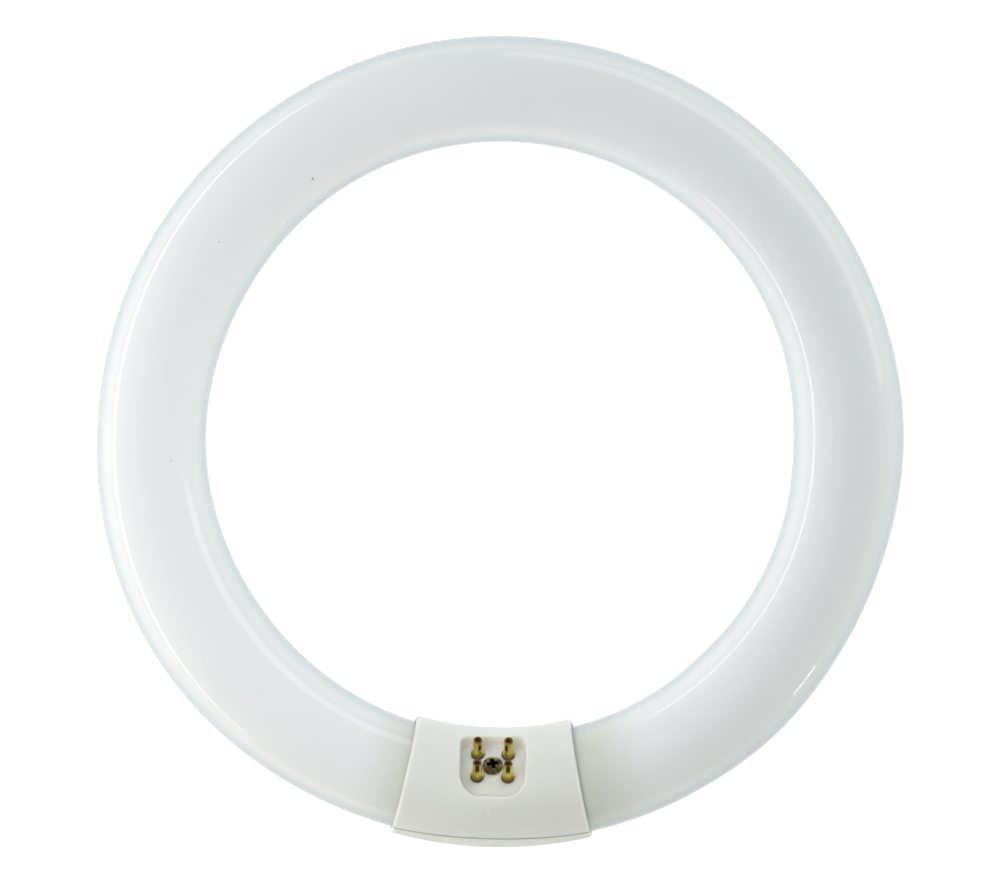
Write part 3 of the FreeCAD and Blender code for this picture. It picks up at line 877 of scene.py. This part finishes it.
# Painted shade: inside the cross the head is made near black.
below_top = ramp(tree, up, FLOOR_V + 1.25 * MM, FLOOR_V + 1.47 * MM, 1.0, 0.0)
off_axis = calc(tree, "ADD", calc(tree, "POWER", across, 2.0), calc(tree, "POWER", along, 2.0))
painted_cross_shade = calc(tree, "MULTIPLY", below_top, calc(tree, "LESS_THAN", off_axis, (CROSS_REACH * MM) ** 2))
plated = mix(tree, calc(tree, "MULTIPLY", painted_cross_shade, 0.97), plated, CROSS_PAINTED_SHADE)
dress(tree, shader, {
    "Base Color": plated,
    "Metallic": 1.0,
    "Roughness": ramp(tree, blotch, 0.0, 1.0, 0.22, 0.5),
    "Normal": relief(tree, blotch, 0.4, 0.00005),
})

# %% Screw head and shank
SCREW_OUTLINE = [(0.0, -18.0), (0.2, -17.7), (1.1, -16.2), (1.15, -15.0), (1.15, -1.2), (1.3, -0.6)]
SCREW_OUTLINE += [(1.45, -0.25), (1.45, 0.0), (2.55, 0.0), (2.65, 0.08), (2.65, 0.22)]
for step in range(1, 7):
    bend = math.radians(15 * step)
    SCREW_OUTLINE.append((1.4 + 1.25 * math.cos(bend), 0.24 + 1.25 * math.sin(bend)))
SCREW_OUTLINE += [(0.7, 1.5), (0.0, 1.5)]

screw_sizes = {"Sweep radius": 1.0 * MM, "Row spacing": 0.14 * MM, "Steps round": 96}
tree, given = new_tree("turned screw", screw_sizes)
finish_tree(tree, swept_outline(tree, given, given["Geometry"]), given["Material"])
outline = outline_mesh(SCREW_OUTLINE, False)
screw = run_tree("clamp_screw_visual", tree, screw_sizes, screw_plating, outline)


# The bottom and the top of an arm of the cross: half its length, half its width, and its height.
CROSS_ARM = [(0.9, 0.36, 0.5), (CROSS_REACH, 0.56, 1.56)]
CROSS_TURNS = (12, 102)


def wedge(turn):
    """One arm of the cross recess, narrower at its bottom than at its top."""
    shape = bmesh.new()
    for long, wide, height in CROSS_ARM:
        for x, y in ((-long, -wide), (long, -wide), (long, wide), (-long, wide)):
            shape.verts.new((x * MM, y * MM, height * MM))
    bmesh.ops.convex_hull(shape, input=shape.verts)
    shape.transform(Matrix.Rotation(math.radians(turn), 4, "Z"))
    mesh = bpy.data.meshes.new("wedge")
    shape.to_mesh(mesh)
    shape.free()
    piece = bpy.data.objects.new("wedge", mesh)
    bpy.context.scene.collection.objects.link(piece)
    return piece


for turn in CROSS_TURNS:
    cutter = wedge(turn)
    cut = screw.modifiers.new("recess", "BOOLEAN")
    cut.operation = "DIFFERENCE"
    cut.solver = "EXACT"
    cut.object = cutter
    mesh = bpy.data.meshes.new_from_object(screw.evaluated_get(bpy.context.evaluated_depsgraph_get()))
    screw.modifiers.clear()
    screw.data = mesh
    bpy.data.objects.remove(cutter)
print("screw with its recess:", len(screw.data.polygons), "faces")

# %% Screw thread
thread_sizes = {"Turns": 10.5, "Pitch": 1.35 * MM, "Core radius": 1.12 * MM, "Ridge": 0.31 * MM}
thread_sizes |= {"Top": -1.4 * MM, "Rows": 420}
tree, given = new_tree("thread", thread_sizes)
line = add(tree, "GeometryNodeCurvePrimitiveLine", {"End": (0, 0, 1)})
rows = add(tree, "GeometryNodeResampleCurve", {"Curve": line.outputs[0], "Count": given["Rows"]})
share = add(tree, "GeometryNodeSplineParameter").outputs["Factor"]
turns = calc(tree, "MULTIPLY", share, given["Turns"])
angle = calc(tree, "MULTIPLY", turns, 2 * math.pi)
x = calc(tree, "MULTIPLY", calc(tree, "COSINE", angle), given["Core radius"])
y = calc(tree, "MULTIPLY", calc(tree, "SINE", angle), given["Core radius"])
z = calc(tree, "SUBTRACT", given["Top"], calc(tree, "MULTIPLY", turns, given["Pitch"]))
point = add(tree, "ShaderNodeCombineXYZ", {"X": x, "Y": y, "Z": z})
path = add(tree, "GeometryNodeSetPosition", {"Geometry": rows.outputs[0], "Position": point.outputs[0]})
run_out = calc(tree, "MULTIPLY", calc(tree, "MINIMUM", share, calc(tree, "SUBTRACT", 1.0, share)), 12.0)
run_out = calc(tree, "MAXIMUM", calc(tree, "MINIMUM", run_out, 1.0), 0.05)
section = add(tree, "GeometryNodeCurvePrimitiveCircle", {"Resolution": 6, "Radius": 1.0}, mode="RADIUS")
ridge_values = {"Curve": path.outputs[0], "Profile Curve": section.outputs[0], "Fill Caps": True}
ridge_values["Scale"] = calc(tree, "MULTIPLY", run_out, given["Ridge"])
ridge = add(tree, "GeometryNodeCurveToMesh", ridge_values)
finish_tree(tree, ridge.outputs[0], given["Material"])
thread = run_tree("thread", tree, thread_sizes, screw_plating)

both = bmesh.new()
both.from_mesh(screw.data)
both.from_mesh(thread.data)
both.to_mesh(screw.data)
both.free()
bpy.data.objects.remove(thread)
screw.data.transform(to_cap @ Matrix.Translation((0, 0, FLOOR_V)))
stand_in_for(screw, "screw_plating", "clamp_screw")

# %% [markdown]
# ## Lead wires
#
# Four copper wires run from the glass stems to the pins. Their solids are already round, smooth wire, so
# they keep their own meshes and only get their finish: copper that has gone brown in places.

# %% Copper wires
COPPER = (0.42, 0.16, 0.08, 1), (0.86, 0.48, 0.30, 1)
lead_copper, tree, shader, place = new_material("lead_copper")
brown = noise(tree, place, 500.0, 4.0)
dress(tree, shader, {
    "Base Color": mix(tree, brown, *COPPER),
    "Metallic": 1.0,
    "Roughness": ramp(tree, brown, 0.0, 1.0, 0.25, 0.5),
})
for name in PIN_PLACES:
    wire = nodes[f"lead_wire_{name}"]
    wire.data.materials.clear()
    wire.data.materials.append(lead_copper)
